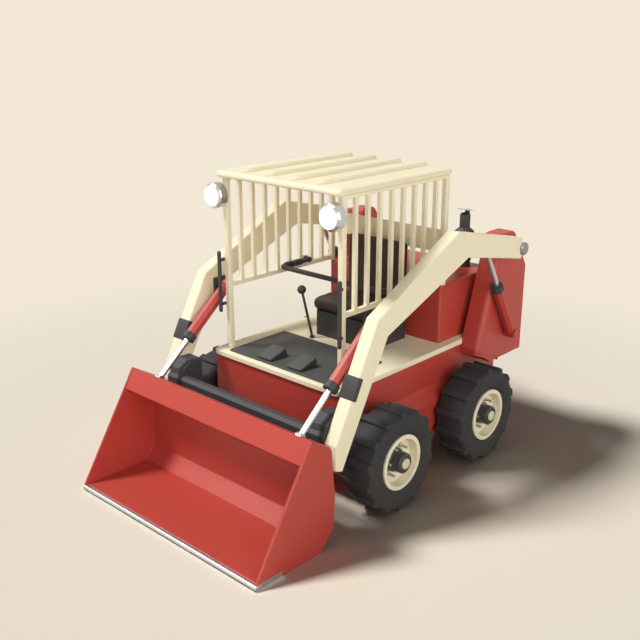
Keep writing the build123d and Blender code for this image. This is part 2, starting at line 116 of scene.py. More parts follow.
class LoaderSizes(bpy.types.PropertyGroup):
    """Sizes of the fittings, in metres."""

    bar_count: IntProperty(name="Tyre bars", description="Bars round each tyre", default=14,
                           min=10, max=20)
    bar_width: length("Bar width", "Width of a tyre bar round the tread", 0.048, 0.02, 0.06)
    bar_height: length("Bar height", "How far the bars stand out of the tread", 0.022, 0.01, 0.03)
    hub_radius: length("Hub", "Radius of the hub's barrel", 0.066, 0.05, 0.078)
    cap_radius: length("Hub cap", "Radius of the cream cap on a hub", 0.0345, 0.025, 0.042)
    stud_count: IntProperty(name="Studs", description="Studs on each wheel", default=6, min=4, max=10)
    stud_radius: length("Stud radius", "Radius of the long wheel studs", 0.0075, 0.004, 0.012)
    stud_circle: length("Stud circle", "Radius of the circle of studs", 0.098, 0.09, 0.13)
    stud_reach: length("Stud reach", "How far out the studs end from the wheel's middle", 0.096,
                       0.05, 0.11)
    pad_thickness: length("Arm pad", "How far the black arm pads stand proud", 0.009, 0.002, 0.02)
    collar_length: length("Gland collar", "Length of the black collars on the cylinders", 0.047,
                          0.03, 0.06)
    grip_half: length("Grip", "Half the thickness of the lap bar's grips", 0.0195, 0.018, 0.03)
    lens_radius: length("Lamp glass", "Radius of the lamp's glass disc", 0.066, 0.05, 0.07)
    rib_width: length("Roof rib width", "Width of a roof rib", 0.046, 0.04, 0.08)
    rib_height: length("Roof rib height", "Height of a roof rib", 0.027, 0.01, 0.03)
    rib_pitch: length("Roof rib pitch", "Distance between roof ribs", 0.218, 0.15, 0.25)
    weld_radius: length("Weld bead", "Radius of a weld bead", 0.005, 0.003, 0.008)
    seat_corner: length("Seat corner", "Rounding of the seat's edges", 0.042, 0.02, 0.045)


class LoaderStage(bpy.types.PropertyGroup):
    """Camera and light."""

    camera_azimuth: FloatProperty(name="Camera azimuth", description="Turn of the camera from the front",
                                  default=math.radians(42.77), subtype="ANGLE")
    camera_pitch: FloatProperty(name="Camera pitch", description="How far the camera looks down",
                                default=math.radians(18.47), subtype="ANGLE")
    camera_place: FloatVectorProperty(name="Camera place", description="Where the camera stands",
                                      default=(3.823, -4.145, 2.895), subtype="TRANSLATION")
    lens: FloatProperty(name="Lens", description="Focal length in millimetres", default=49.88)
    key_strength: FloatProperty(name="Key strength", description="Strength of the soft key light",
                                default=3.1, min=0)
    key_softness: FloatProperty(name="Key softness", description="Angular size of the key light",
                                default=math.radians(15), subtype="ANGLE")
    fill_strength: FloatProperty(name="Fill strength", description="Strength of the low side light",
                                 default=1.8, min=0)
    zenith: FloatProperty(name="Overhead light", description="Brightness of the studio overhead",
                          default=0.07, min=0)
    horizon: FloatProperty(name="Side light", description="Brightness of the studio at eye level",
                           default=0.35, min=0)
    backdrop: FloatVectorProperty(name="Backdrop", description="Colour of the backdrop", size=3,
                                  subtype="COLOR", default=linear(242, 232, 213))
    floor: FloatVectorProperty(name="Floor", description="Colour of the floor", size=3,
                               subtype="COLOR", default=linear(242, 232, 214))


# ---------------------------------------------------------------- shader groups
def new_group(name, inputs, outputs):
    group = bpy.data.node_groups.new(name, "ShaderNodeTree")
    for label, kind, default in inputs:
        socket = group.interface.new_socket(label, in_out="INPUT", socket_type=kind)
        socket.default_value = default
    for label, kind in outputs:
        group.interface.new_socket(label, in_out="OUTPUT", socket_type=kind)
    entry, leave = group.nodes.new("NodeGroupInput"), group.nodes.new("NodeGroupOutput")
    return group, entry, leave


def joined(tree, kind, **links):
    """Adds a node and links or sets its inputs by name; plain values are set."""
    node = tree.nodes.new(kind)
    for key, value in links.items():
        target = node.inputs[int(key[1:])] if key[0] == "i" and key[1:].isdigit() else node.inputs[
            key.replace("_", " ")]
        if isinstance(value, bpy.types.NodeSocket):
            tree.links.new(value, target)
        else:
            target.default_value = value
    return node


def maths(tree, operation, first, second=0.0):
    node = joined(tree, "ShaderNodeMath", i0=first, i1=second)
    node.operation = operation
    return node.outputs[0]


def mottle_group():
    """Slow drift of colour and gloss over a surface, as paint, rubber and vinyl have."""
    group, entry, leave = new_group(
        "Mottle",
        [("Colour", "NodeSocketColor", (0.5, 0.5, 0.5, 1)), ("Spread", "NodeSocketFloat", 0.08),
         ("Patches per metre", "NodeSocketFloat", 4.0), ("Gloss", "NodeSocketFloat", 0.45),
         ("Gloss spread", "NodeSocketFloat", 0.1)],
        [("Colour", "NodeSocketColor"), ("Roughness", "NodeSocketFloat")])
    place = group.nodes.new("ShaderNodeTexCoord").outputs["Object"]
    noise = joined(group, "ShaderNodeTexNoise", Vector=place, Scale=entry.outputs["Patches per metre"],
                   Detail=4.0, Roughness=0.6)
    centred = maths(group, "SUBTRACT", noise.outputs["Fac"], 0.5)
    lift = maths(group, "MULTIPLY_ADD", centred, entry.outputs["Spread"])
    lift.node.inputs[2].default_value = 1.0
    shade = joined(group, "ShaderNodeHueSaturation", Value=lift, Color=entry.outputs["Colour"])
    fine = joined(group, "ShaderNodeTexNoise", Vector=place, Scale=38.0, Detail=3.0)
    swing = maths(group, "SUBTRACT", fine.outputs["Fac"], 0.5)
    rough = maths(group, "MULTIPLY_ADD", swing, entry.outputs["Gloss spread"])
    group.links.new(entry.outputs["Gloss"], rough.node.inputs[2])
    group.links.new(shade.outputs[0], leave.inputs["Colour"])
    group.links.new(rough, leave.inputs["Roughness"])
    return group


def pebble_group():
    """Height of a fine pebbled or orange-peel skin."""
    group, entry, leave = new_group(
        "Pebble", [("Cells per metre", "NodeSocketFloat", 400.0), ("Softness", "NodeSocketFloat", 0.5)],
        [("Height", "NodeSocketFloat")])
    place = group.nodes.new("ShaderNodeTexCoord").outputs["Object"]
    noise = joined(group, "ShaderNodeTexNoise", Vector=place, Scale=entry.outputs["Cells per metre"],
                   Detail=2.0)
    cells = joined(group, "ShaderNodeTexVoronoi", Vector=place, Scale=entry.outputs["Cells per metre"])
    mix = joined(group, "ShaderNodeMix", Factor=entry.outputs["Softness"], i2=cells.outputs["Distance"],
                 i3=noise.outputs["Fac"])
    group.links.new(mix.outputs[0], leave.inputs["Height"])
    return group


def dust_group():
    """Dust that gathers low down and lightens the colour a little."""
    group, entry, leave = new_group(
        "Low Dust",
        [("Colour", "NodeSocketColor", (0.5, 0.5, 0.5, 1)),
         ("Dust", "NodeSocketColor", (*linear(168, 152, 128), 1)),
         ("Amount", "NodeSocketFloat", 0.1), ("Reach", "NodeSocketFloat", 0.5)],
        [("Colour", "NodeSocketColor")])
    place = group.nodes.new("ShaderNodeTexCoord").outputs["Object"]
    height = joined(group, "ShaderNodeSeparateXYZ", Vector=place).outputs["Z"]
    fall = maths(group, "DIVIDE", height, entry.outputs["Reach"])
    near = maths(group, "SUBTRACT", 1.0, fall)
    near.node.use_clamp = True
    noise = joined(group, "ShaderNodeTexNoise", Vector=place, Scale=14.0, Detail=6.0)
    mask = maths(group, "MULTIPLY", maths(group, "MULTIPLY", near, noise.outputs["Fac"]),
                 entry.outputs["Amount"])
    mix = group.nodes.new("ShaderNodeMix")
    mix.data_type = "RGBA"
    group.links.new(mask, mix.inputs[0])
    group.links.new(entry.outputs["Colour"], mix.inputs[6])
    group.links.new(entry.outputs["Dust"], mix.inputs[7])
    group.links.new(mix.outputs[2], leave.inputs["Colour"])
    return group


GROUPS = {}
MATERIALS = {}


def group_node(tree, name, **values):
    node = tree.nodes.new("ShaderNodeGroup")
    node.node_tree = GROUPS[name]
    for key, value in values.items():
        target = node.inputs[key.replace("_", " ")]
        if isinstance(value, bpy.types.NodeSocket):
            tree.links.new(value, target)
        else:
            target.default_value = value
    return node


def finish(name, colour, gloss, spread=0.06, patches=4.0, gloss_spread=0.1, cells=500.0,
           softness=0.6, bump=0.0006, dust=0.0, soft_edge=0.003, **shader):
    """A material with mottled colour, a fine skin and softened edges."""
    material = bpy.data.materials.new(name)
    material.use_nodes = True
    tree = material.node_tree
    surface = tree.nodes["Principled BSDF"]
    mottle = group_node(tree, "Mottle", Colour=(*colour, 1), Spread=spread,
                        Patches_per_metre=patches, Gloss=gloss, Gloss_spread=gloss_spread)
    shade = mottle.outputs["Colour"]
    if dust:
        shade = group_node(tree, "Low Dust", Colour=shade, Amount=dust).outputs["Colour"]
    tree.links.new(shade, surface.inputs["Base Color"])
    tree.links.new(mottle.outputs["Roughness"], surface.inputs["Roughness"])
    skin = group_node(tree, "Pebble", Cells_per_metre=cells, Softness=softness)
    relief = tree.nodes.new("ShaderNodeBump")
    relief.inputs["Distance"].default_value = bump
    relief.inputs["Strength"].default_value = 0.6
    tree.links.new(skin.outputs["Height"], relief.inputs["Height"])
    if soft_edge:
        edge = tree.nodes.new("ShaderNodeBevel")
        edge.samples = 4
        edge.inputs["Radius"].default_value = soft_edge
        tree.links.new(edge.outputs[0], relief.inputs["Normal"])
    tree.links.new(relief.outputs[0], surface.inputs["Normal"])
    for key, value in shader.items():
        surface.inputs[key.replace("_", " ")].default_value = value
    MATERIALS[name] = material
    return material


def ground_steel():
    """Ground steel with scratches along the cutting edge."""
    material = finish("Edge Steel", linear(214, 217, 224), 0.34, spread=0.06, patches=9.0,
                      gloss_spread=0.1, bump=0.00001, Metallic=1.0)
    tree = material.node_tree
    place = tree.nodes.new("ShaderNodeTexCoord").outputs["Object"]
    stretch = joined(tree, "ShaderNodeMapping", Vector=place, Scale=(3.0, 260.0, 260.0))
    lines = joined(tree, "ShaderNodeTexNoise", Vector=stretch.outputs[0], Scale=1.0, Detail=3.0)
    relief = next(n for n in tree.nodes if n.type == "BUMP")
    tree.links.new(lines.outputs["Fac"], relief.inputs["Height"])
    return material


def lens_glass():
    """Bright fluted lamp lens."""
    material = finish("Lamp Lens", linear(252, 252, 250), 0.18, spread=0.02, soft_edge=0.0,
                      Coat_Weight=0.6, Coat_Roughness=0.05)
    tree = material.node_tree
    surface = tree.nodes["Principled BSDF"]
    surface.inputs["Emission Color"].default_value = (1, 1, 0.98, 1)
    surface.inputs["Emission Strength"].default_value = 0.75
    place = tree.nodes.new("ShaderNodeTexCoord").outputs["Object"]
    flutes = joined(tree, "ShaderNodeTexWave", Vector=place, Scale=26.0)
    flutes.bands_direction = "X"
    relief = next(n for n in tree.nodes if n.type == "BUMP")
    relief.inputs["Distance"].default_value = 0.002
    tree.links.new(flutes.outputs["Fac"], relief.inputs["Height"])
    return material


# ---------------------------------------------------------------- mesh helpers
def add_piece(name, form, body, material, smooth=True, replaces=()):
    """Turns a bmesh into an object at the origin that rides on a body."""
    mesh = bpy.data.meshes.new(name)
    form.to_mesh(mesh)
    form.free()
    if smooth:
        mesh.shade_smooth()
        mesh.set_sharp_from_angle(angle=math.radians(38))
    thing = bpy.data.objects.new(name, mesh)
    bpy.context.scene.collection.objects.link(thing)
    mesh.materials.append(MATERIALS[material])
    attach(thing, body)
    if replaces:
        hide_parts(*replaces)
    return thing


def toward(start, end):
    """Matrix that stands a +Z form on the line from start to end."""
    start, end = Vector(start), Vector(end)
    turn = (end - start).to_track_quat("Z", "Y").to_matrix().to_4x4()
    return Matrix.Translation(start) @ turn


def spot(joint):
    """Where a joint's axis passes."""
    return Vector(JOINTS[joint]["pos_m"])


def since(form, before):
    """Vertices made after the set of earlier ones was taken."""
    return [vert for vert in form.verts if vert not in before]


def edges_of(verts):
    return list({edge for vert in verts for edge in vert.link_edges})


def faces_of(verts):
    return list({face for vert in verts for face in vert.link_faces})


def soften(form, edges, width, segments=2):
    bmesh.ops.bevel(form, geom=edges, offset=width, offset_type="OFFSET", affect="EDGES",
                    segments=segments, profile=0.5, material=-1)


def add_block(form, low, high, bevel=0.0, segments=2):
    """Box between two corners, with softened edges."""
    before = set(form.verts)
    low, high = Vector(low), Vector(high)
    made = bmesh.ops.create_cube(form, size=1)["verts"]
    bmesh.ops.scale(form, vec=high - low, verts=made)
    bmesh.ops.translate(form, vec=(low + high) / 2, verts=made)
    if bevel:
        soften(form, edges_of(made), bevel, segments)
    return since(form, before)


def add_prism(form, outline, low, high, bevel=0.0, segments=2):
    """Prism along x from low to high whose side view is the closed outline of (y, z) points."""
    before = set(form.verts)
    face = form.faces.new([form.verts.new((low, y, z)) for y, z in outline])
    grown = bmesh.ops.extrude_face_region(form, geom=[face], use_keep_orig=True)["geom"]
    far = [item for item in grown if isinstance(item, bmesh.types.BMVert)]
    bmesh.ops.translate(form, vec=(high - low, 0, 0), verts=far)
    made = since(form, before)
    bmesh.ops.recalc_face_normals(form, faces=faces_of(made))
    if bevel:
        soften(form, edges_of(made), bevel, segments)
    return since(form, before)


def add_rod(form, start, end, radius, steps=24, bevel=0.0, turn=0.0):
    """Round or many-sided bar between two points, with softened ends."""
    before = set(form.verts)
    length = (Vector(end) - Vector(start)).length
    made = bmesh.ops.create_cone(form, cap_ends=True, segments=steps, radius1=radius,
                                 radius2=radius, depth=length)["verts"]
    bmesh.ops.translate(form, vec=(0, 0, length / 2), verts=made)
    if bevel:
        rims = [edge for edge in edges_of(made)
                if abs(edge.verts[0].co.z - edge.verts[1].co.z) < 1e-6]
        soften(form, rims, bevel)
        made = since(form, before)
    place = toward(start, end) @ Matrix.Rotation(turn, 4, "Z")
    bmesh.ops.transform(form, matrix=place, verts=made)
    return made


def lathe(form, profile, start, axis, steps=48, squeeze=1.0, closed=False):
    """Turned form from (along, radius) points; squeeze flattens it across the axis."""
    before = set(form.verts)
    line = [form.verts.new((radius, 0, along)) for along, radius in profile]
    pairs = list(zip(line, line[1:])) + ([(line[-1], line[0])] if closed else [])
    edges = [form.edges.new(pair) for pair in pairs]
    bmesh.ops.spin(form, geom=line + edges, cent=(0, 0, 0), axis=(0, 0, 1), angle=math.tau,
                   steps=steps, use_merge=True)
    bmesh.ops.remove_doubles(form, verts=since(form, before), dist=1e-6)
    made = since(form, before)
    bmesh.ops.recalc_face_normals(form, faces=faces_of(made))
    bmesh.ops.scale(form, vec=(1, squeeze, 1), verts=made)
    bmesh.ops.transform(form, matrix=toward(start, Vector(start) + Vector(axis)), verts=made)
    return made


def add_bolt(form, place, axis, across=0.019, head=0.008):
    """Hex bolt head on a washer, standing out along axis."""
    place, axis = Vector(place), Vector(axis).normalized()
    add_rod(form, place - axis * 0.001, place + axis * 0.0025, across * 0.78, steps=20)
    add_rod(form, place, place + axis * (head + 0.0025), across * 0.577, steps=6,
            bevel=across * 0.06)


def add_weld(form, start, end, radius, pitch=0.009):
    """Weld bead with ripples between two points."""
    start, end = Vector(start), Vector(end)
    length = (end - start).length
    count = max(4, 2 * round(length / pitch))
    ripple = [(length * i / count, radius * (1.0 if i % 2 else 0.86)) for i in range(1, count)]
    lathe(form, [(0, 0), *ripple, (length, 0)], start, end - start, steps=8)


# ---------------------------------------------------------------- operators
class LOADER_OT_finishes(bpy.types.Operator):
    """Build every finish and put it on the solids"""

    bl_idname = "loader.finishes"
    bl_label = "Finishes"

    def execute(self, context):
        tone = context.scene.loader_colours
        GROUPS.update({"Mottle": mottle_group(), "Pebble": pebble_group(), "Low Dust": dust_group()})
        finish("Body Paint", tone.body, 0.42, spread=0.05, patches=2.5, cells=900, bump=0.0004,
               dust=0.06, soft_edge=0.004)
        finish("Cream Paint", tone.cream, 0.46, spread=0.04, patches=3.0, cells=900, bump=0.0004,
               soft_edge=0.004, Specular_IOR_Level=0.4)
        finish("Black Steel", tone.black, 0.58, spread=0.12, patches=8.0, cells=700, bump=0.0006,
               soft_edge=0.004, Specular_IOR_Level=0.35)
        finish("Hub Steel", tone.black, 0.35, spread=0.1, cells=600, bump=0.0003, soft_edge=0.002)
        finish("Tyre Rubber", tone.rubber, 0.72, spread=0.16, patches=6.0, cells=420, bump=0.0012,
               dust=0.1, soft_edge=0.0035, Specular_IOR_Level=0.3)
        finish("Mat Rubber", tone.mat, 0.7, spread=0.12, patches=7.0, cells=260, softness=0.25,
               bump=0.0014, Specular_IOR_Level=0.35)
        finish("Pedal Rubber", linear(70, 71, 70), 0.66, spread=0.1, cells=300, softness=0.25,
               bump=0.001)
        finish("Black Plastic", linear(50, 50, 52), 0.5, spread=0.08, cells=380, softness=0.35,
               bump=0.0008)
        finish("Grip Rubber", linear(40, 40, 42), 0.62, spread=0.1, cells=520, softness=0.2,
               bump=0.001)
        finish("Seat Vinyl", tone.seat, 0.55, spread=0.14, patches=6.0, cells=300, softness=0.15,
               bump=0.0016, soft_edge=0.0, Specular_IOR_Level=0.4)
        finish("Chrome", linear(206, 208, 213), 0.32, spread=0.03, gloss_spread=0.06, bump=0.00005,
               soft_edge=0.002, Metallic=1.0)
        finish("Lamp Chrome", linear(214, 218, 227), 0.22, spread=0.04, gloss_spread=0.08,
               bump=0.00005, soft_edge=0.001, Metallic=1.0)
        finish("Pin Steel", linear(158, 160, 164), 0.38, spread=0.08, patches=12.0, bump=0.0002,
               soft_edge=0.001, Metallic=0.9)
        finish("Galvanised Sheet", linear(196, 196, 190), 0.45, spread=0.12, patches=40.0,
               bump=0.0002, soft_edge=0.0, Metallic=0.7)
        finish("Engine Iron", linear(70, 72, 74), 0.6, spread=0.2, patches=9.0, bump=0.001)
        finish("Cap Cream", linear(226, 216, 178), 0.4, spread=0.05, soft_edge=0.001)
        finish("Weld Paint", tone.body, 0.4, spread=0.08, cells=260, bump=0.0015, soft_edge=0.0)
        ground_steel()
        lens_glass()
        worn = {"body_paint": "Body Paint", "cream_paint": "Cream Paint", "black_steel": "Black Steel",
                "hub_steel": "Hub Steel", "edge_steel": "Edge Steel", "rod_chrome": "Chrome",
                "lamp_chrome": "Lamp Chrome", "lens_glass": "Lamp Lens", "engine_iron": "Engine Iron",
                "black_plastic": "Black Plastic", "mat_rubber": "Mat Rubber",
                "seat_vinyl": "Seat Vinyl", "tyre_rubber": "Tyre Rubber"}
        for name, thing in NODES.items():
            for holder in thing.material_slots:
                holder.material = MATERIALS[worn[SLOT_OF[name]]]
        return {"FINISHED"}


class LOADER_OT_tyres(bpy.types.Operator):
    """Tyres with flat side walls, rounded shoulders and straight bars"""

    bl_idname = "loader.tyres"
    bl_label = "Tyres"

    def execute(self, context):
        size = context.scene.loader_sizes
        for wheel in WHEELS:
            centre = spot(f"wheel_{wheel}_spin")
            low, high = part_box(f"tyre_{wheel}")
            half, radius = (high.x - low.x) / 2, centre.z
            crown = radius - size.bar_height
            wall = [(half - 0.016, 0.166), (half - 0.016, 0.186), (half - 0.011, 0.193),
                    (half - 0.003, 0.199), (half, 0.212), (half, 0.25), (half - 0.0006, 0.284),
                    (half - 0.003, 0.297), (half - 0.009, 0.306), (half - 0.019, crown)]
            form = bmesh.new()
            ring = wall + [(-along, r) for along, r in reversed(wall)]
            lathe(form, ring, (0, 0, 0), (0, 0, 1), steps=96, closed=True)
            foot = crown - 0.02
            end = [(foot, half - 0.005), (crown, half - 0.003), (radius, half - 0.013)]
            outline = [(-r, along) for r, along in end]
            outline += [(-r, -along) for r, along in reversed(end)]
            bar = add_prism(form, outline, -size.bar_width / 2, size.bar_width / 2, 0.004)
            copies = size.bar_count - 1
            bmesh.ops.spin(form, geom=bar + edges_of(bar) + faces_of(bar), cent=(0, 0, 0),
                           axis=(0, 0, 1), angle=math.tau * copies / size.bar_count,
                           steps=copies, use_duplicate=True)
            out = Vector((math.copysign(1, centre.x), 0, 0))
            bmesh.ops.transform(form, matrix=toward(centre, centre + out), verts=form.verts[:])
            add_piece(f"tyre_dressed_{wheel}", form, f"wheel_{wheel}", "Tyre Rubber",
                      replaces=[f"tyre_{wheel}"])
        return {"FINISHED"}


class LOADER_OT_hubs(bpy.types.Operator):
    """Turned hubs with cream caps and long studs"""

    bl_idname = "loader.hubs"
    bl_label = "Hubs"

    def execute(self, context):
        size = context.scene.loader_sizes
        for wheel in WHEELS:
            centre = spot(f"wheel_{wheel}_spin")
            low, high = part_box(f"hub_{wheel}")
            out = Vector((math.copysign(1, centre.x), 0, 0))
            nose = max(abs(low.x), abs(high.x)) - abs(centre.x) - 0.009
            barrel = high.z - centre.z
            wide = size.hub_radius
            form = bmesh.new()
            lathe(form, [(-0.040, 0.0362), (-0.040, 0.078), (0.004, 0.078), (0.004, barrel),
                         (0.0247, barrel), (0.0247, wide + 0.010), (0.058, wide + 0.010),
                         (0.064, wide + 0.006), (0.066, wide), (nose - 0.016, wide),
                         (nose - 0.006, wide - 0.002), (nose - 0.001, wide - 0.008),
                         (nose, wide - 0.015), (nose, 0.042), (nose - 0.002, 0.039),
                         (nose - 0.002, 0), (0.060, 0), (0.060, 0.0362)], centre, out, closed=True)
            add_piece(f"hub_turned_{wheel}", form, f"wheel_{wheel}", "Hub Steel",
                      replaces=[f"hub_{wheel}"])
            form = bmesh.new()
            cap = size.cap_radius
            lathe(form, [(nose - 0.003, 0), (nose - 0.003, cap), (nose + 0.004, cap),
                         (nose + 0.0075, cap - 0.002), (nose + 0.009, cap - 0.007),
                         (nose + 0.009, 0)], centre, out)
            add_piece(f"hub_cap_{wheel}", form, f"wheel_{wheel}", "Cap Cream")
            form = bmesh.new()
            for i in range(size.stud_count):
                angle = math.tau * i / size.stud_count + STUD_START
                off = Vector((0, math.cos(angle), math.sin(angle))) * size.stud_circle
                foot = centre + off + out * 0.036
                tip = centre + off + out * size.stud_reach
                add_rod(form, foot, tip, size.stud_radius, 16, bevel=0.0015)
                add_rod(form, foot, foot + out * 0.014, size.stud_radius * 1.8, 6, bevel=0.0012)
                add_rod(form, foot, foot + out * 0.003, size.stud_radius * 2.3, 20)
            add_piece(f"studs_{wheel}", form, f"wheel_{wheel}", "Chrome")
        return {"FINISHED"}


class LOADER_OT_arm_fittings(bpy.types.Operator):
    """Black wrap pads on the arms, caps on the pivots and ends on the bucket pins"""

    bl_idname = "loader.arm_fittings"
    bl_label = "Arm fittings"

    def execute(self, context):
        proud = context.scene.loader_sizes.pad_thickness
        pin, pivot = spot("bucket_tilt"), spot("boom_raise")
        for side, sign in SIDES:
            low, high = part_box(f"arm_{side}")
            inner, outer = sorted((abs(low.x), abs(high.x)))
            top, foot = pin + Vector((0, 0.183, 0.579)), pin + Vector((0, 0.120, 0.455))
            along = (foot - top).normalized()
            into = Vector((0, -along.z, along.y))
            if into.y < 0:
                into.negate()
            middle, reach, half = (top + foot) / 2, (top - foot).length / 2, (outer - inner) / 2
            form = bmesh.new()
            add_block(form, (-half - proud, -reach, -0.03), (half + proud, reach, proud), 0.006, 3)
            turn = Matrix((Vector((1, 0, 0)), along, -into)).transposed().to_4x4()
            place = Matrix.Translation((sign * (inner + outer) / 2, middle.y, middle.z))
            bmesh.ops.transform(form, matrix=place @ turn, verts=form.verts[:])
            bmesh.ops.recalc_face_normals(form, faces=form.faces[:])
            add_piece(f"arm_pad_{side}", form, "boom", "Black Steel")

            form = bmesh.new()
            lathe(form, [(0.0012, 0), (0.0012, 0.0445), (0.012, 0.0455), (0.017, 0.043),
                         (0.0195, 0.038), (0.0195, 0)],
                  (sign * outer, pivot.y, pivot.z), (sign, 0, 0))
            add_piece(f"pivot_cap_{side}", form, "chassis", "Pin Steel")

            form = bmesh.new()
            lathe(form, [(0, 0), (0, 0.0225), (0.0075, 0.0225), (0.0095, 0.0205), (0.0095, 0)],
                  (sign * inner, pin.y, pin.z), (sign, 0, 0), steps=32)
            add_piece(f"bucket_pin_end_{side}", form, "boom", "Chrome")
        return {"FINISHED"}


class LOADER_OT_cylinder_fittings(bpy.types.Operator):
    """Black gland collars and wiper rings on the four cylinders"""

    bl_idname = "loader.cylinder_fittings"
    bl_label = "Cylinder fittings"

    def execute(self, context):
        collar = context.scene.loader_sizes.collar_length
        corner = 1 / math.cos(math.pi / 8)
        for kind, (length, flat) in GLANDS.items():
            for side, _ in SIDES:
                base = spot(f"{kind}_barrel_{side}_swing")
                along = Vector(JOINTS[f"{kind}_rod_{side}_slide"]["axis"])
                form = bmesh.new()
                add_rod(form, base + along * (length - collar), base + along * (length + 0.002),
                        (flat + 0.0015) * corner, 8, bevel=0.004, turn=math.pi / 8)
                add_rod(form, base + along * length, base + along * (length + 0.007), 0.029, 32,
                        bevel=0.002)
                add_piece(f"{kind}_gland_{side}", form, f"{kind}_barrel_{side}", "Black Steel")
        return {"FINISHED"}


class LOADER_OT_bucket_welds(bpy.types.Operator):
    """Weld beads where the bucket's cheeks meet its floor and back"""

    bl_idname = "loader.bucket_welds"
    bl_label = "Bucket welds"

    def execute(self, context):
        bead = context.scene.loader_sizes.weld_radius
        pin = spot("bucket_tilt")
        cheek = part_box("bucket_shell")[1].x - CHEEK_PLATE
        inside = [pin + Vector((0, y, z)) for y, z in BUCKET_INSIDE]
        form = bmesh.new()
        for _, sign in SIDES:
            offset = Vector((sign * (cheek - 0.001), 0, 0))
            for start, end in zip(inside, inside[1:]):
                add_weld(form, start + offset, end + offset, bead)
        add_piece("bucket_welds", form, "bucket", "Weld Paint")
        return {"FINISHED"}


class LOADER_OT_lamps(bpy.types.Operator):
    """Many-sided bright lamp housings with a glass disc in each"""

    bl_idname = "loader.lamps"
    bl_label = "Lamps"

    def execute(self, context):
        glass_r = context.scene.loader_sizes.lens_radius
        low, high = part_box("lamp_lenses")
        shell_low, shell_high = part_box("lamp_housings")
        face, height = high.y, (low.z + high.z) / 2
        shell_r = (shell_high.z - shell_low.z) / 2
        offset = shell_high.x - shell_r
        rim = shell_r
        form = bmesh.new()
        for _, sign in SIDES:
            lathe(form, [(-0.088, 0), (-0.086, 0.052), (-0.074, rim - 0.010), (-0.062, rim),
                         (-0.010, rim), (-0.002, rim - 0.004), (0.006, glass_r + 0.004),
                         (0.006, glass_r + 0.001), (0.002, glass_r), (0.002, 0)],
                  (sign * offset, face, height), (0, -1, 0), steps=12)
            add_block(form, (sign * offset - 0.014, face + 0.04, height - 0.022),
                      (sign * offset + 0.014, shell_high.y, height + 0.022), 0.002)
        add_piece("lamp_shells", form, "chassis", "Lamp Chrome", smooth=False,
                  replaces=["lamp_housings"])
        form = bmesh.new()
        for _, sign in SIDES:
            lathe(form, [(0.002, 0), (0.002, glass_r), (0.010, glass_r - 0.001),
                         (0.0135, glass_r - 0.008), (0.015, glass_r - 0.03), (0.016, 0)],
                  (sign * offset, face, height), (0, -1, 0))
        add_piece("lamp_glass", form, "chassis", "Lamp Lens",
                  replaces=["lamp_lenses"])
        return {"FINISHED"}


class LOADER_OT_exhaust(bpy.types.Operator):
    """Muffler, skirt and stack with a clamp and a hinged rain flap"""

    bl_idname = "loader.exhaust"
    bl_label = "Exhaust"

    def execute(self, context):
        low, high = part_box("exhaust")
        x, y = (low.x + high.x) / 2, (low.y + high.y) / 2
        skirt, pipe, can = (high.x - low.x) / 2 + 0.006, 0.038, 0.052
        form = bmesh.new()
        lathe(form, [(0, 0), (0, can + 0.004), (0.008, can + 0.004), (0.011, can), (0.244, can),
                     (0.250, skirt - 0.002), (0.254, skirt), (0.260, skirt - 0.002),
                     (0.280, pipe + 0.006), (0.286, pipe), (0.376, pipe), (0.384, pipe - 0.004),
                     (0.388, pipe - 0.010), (0.362, pipe - 0.012), (0.362, 0)],
              (x, y, low.z), (0, 0, 1))
        lathe(form, [(0.048, can - 0.001), (0.048, can + 0.003), (0.066, can + 0.003),
                     (0.066, can - 0.001)], (x, y, low.z), (0, 0, 1), closed=True)
        add_bolt(form, (x + can + 0.002, y, low.z + 0.057), (1, 0, 0), 0.013)
        add_block(form, (x - 0.013, y + 0.012, low.z + 0.376), (x + 0.013, y + 0.040, low.z + 0.413),
                  0.002)
        add_piece("exhaust_stack", form, "chassis", "Black Steel",
                  replaces=["exhaust"])
        form = bmesh.new()
        add_rod(form, (0, 0, -0.002), (0, 0, 0.002), FLAP_RADIUS, 40, bevel=0.001)
        tilt = Matrix.Rotation(math.radians(-9), 4, "X")
        lift = Matrix.Translation((x, y - 0.006, high.z - 0.006))
        bmesh.ops.transform(form, matrix=lift @ tilt, verts=form.verts[:])
        add_piece("rain_flap", form, "chassis", "Galvanised Sheet")
        return {"FINISHED"}


class LOADER_OT_roof(bpy.types.Operator):
    """Bull-nosed roof slab with four rounded ribs"""

    bl_idname = "loader.roof"
    bl_label = "Roof"

    def execute(self, context):
        size = context.scene.loader_sizes
        low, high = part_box("roof")
        top = high.z - size.rib_height
        form = bmesh.new()
        add_block(form, low, (high.x, high.y, top))
        upright = [edge for edge in form.edges
                   if abs(edge.verts[0].co.z - edge.verts[1].co.z) > 1e-4]
        soften(form, upright, 0.028, 4)
        for level, nose in ((top, 0.022), (low.z, 0.018)):
            loop = [edge for edge in form.edges
                    if all(abs(vert.co.z - level) < 1e-5 for vert in edge.verts)]
            soften(form, loop, nose, 4)
        add_piece("roof_slab", form, "chassis", "Cream Paint", replaces=["roof"])
        form = bmesh.new()
        start, end = low.y + 0.036, high.y - 0.012
        span, half = end - start, size.rib_width / 2
        swell = [(0, 0), (0.004, 0.10), (0.018, 0.42), (0.040, 0.80), (0.060, 0.96), (0.080, 1),
                 (span - 0.034, 1), (span - 0.016, 0.86), (span - 0.005, 0.5), (span, 0)]
        profile = [(along, share * half) for along, share in swell]
        for i in range(RIB_COUNT):
            x = (i - (RIB_COUNT - 1) / 2) * size.rib_pitch
            lathe(form, profile, (x, start, top + RIB_SHOULDER), (0, 1, 0), steps=24,
                  squeeze=(size.rib_height - RIB_SHOULDER) / half)
        add_piece("roof_ribs", form, "chassis", "Cream Paint")
        return {"FINISHED"}


